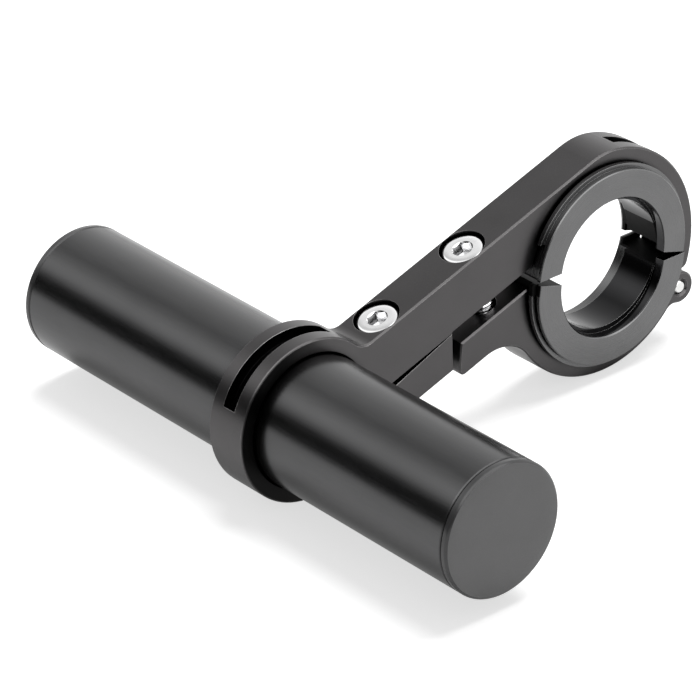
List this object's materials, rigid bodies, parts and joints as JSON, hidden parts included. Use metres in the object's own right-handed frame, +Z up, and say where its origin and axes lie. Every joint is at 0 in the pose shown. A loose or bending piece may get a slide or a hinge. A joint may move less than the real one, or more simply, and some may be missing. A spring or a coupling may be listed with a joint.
{
  "type": "handlebar accessory mount",
  "caption": "Bicycle handlebar extender: a hinged screw clamp with shims, a sloping arm, and a ring that holds a short accessory tube.",
  "frame": {"origin": "the handlebar's axis, in the arm's middle plane", "axes": "+Y along the handlebar, +X from the accessory tube towards the handlebar, +Z up"},
  "size_m": [0.0946, 0.1048, 0.0392],
  "materials": {
    "anodised_arm": "satin black anodised",
    "anodised_shim": "bright turned, black anodised",
    "anodised_tube": "semi-gloss black anodised",
    "plastic_cap": "fine matt black",
    "chromed_screw": "polished",
    "steel_pin": "fine turned"
  },
  "bodies": {
    "arm": {"arm_body": "anodised_arm", "hinge_pin": "steel_pin", "upper_shim": "anodised_shim"},
    "jaw": {"lower_jaw": "anodised_arm", "lower_shim": "anodised_shim"},
    "clamp_screw": {"clamp_screw": "chromed_screw"},
    "tube_screw": {"tube_screw": "chromed_screw"},
    "tube": {"extension_tube": "anodised_tube", "end_cap_near": "plastic_cap", "end_cap_far": "plastic_cap"}
  },
  "joints": [
    {"name": "jaw_hinge", "type": "hinge", "parent": "arm", "child": "jaw", "pos_m": [0.01714, 0, -0.0105], "axis": [0, -1, 0], "range_deg": [-0.8, 1]},
    {"name": "clamp_screw_turn", "type": "hinge", "parent": "arm", "child": "clamp_screw", "pos_m": [-0.02504, 0, 0.00622], "axis": [-0.3218, 0, 0.9468], "range_deg": [-248.1, 310.1]},
    {"name": "tube_screw_turn", "type": "hinge", "parent": "arm", "child": "tube_screw", "pos_m": [-0.04273, 0, 0.00021], "axis": [-0.3218, 0, 0.9468], "range_deg": [0, 360]},
    {"name": "tube_slide", "type": "slide", "parent": "arm", "child": "tube", "axis": [0, 1, 0], "range_m": [-0.048, 0.04]}
  ],
  "couplings": [
    {"joint": "clamp_screw_turn", "follows": "jaw_hinge", "ratio": 310.08}
  ]
}
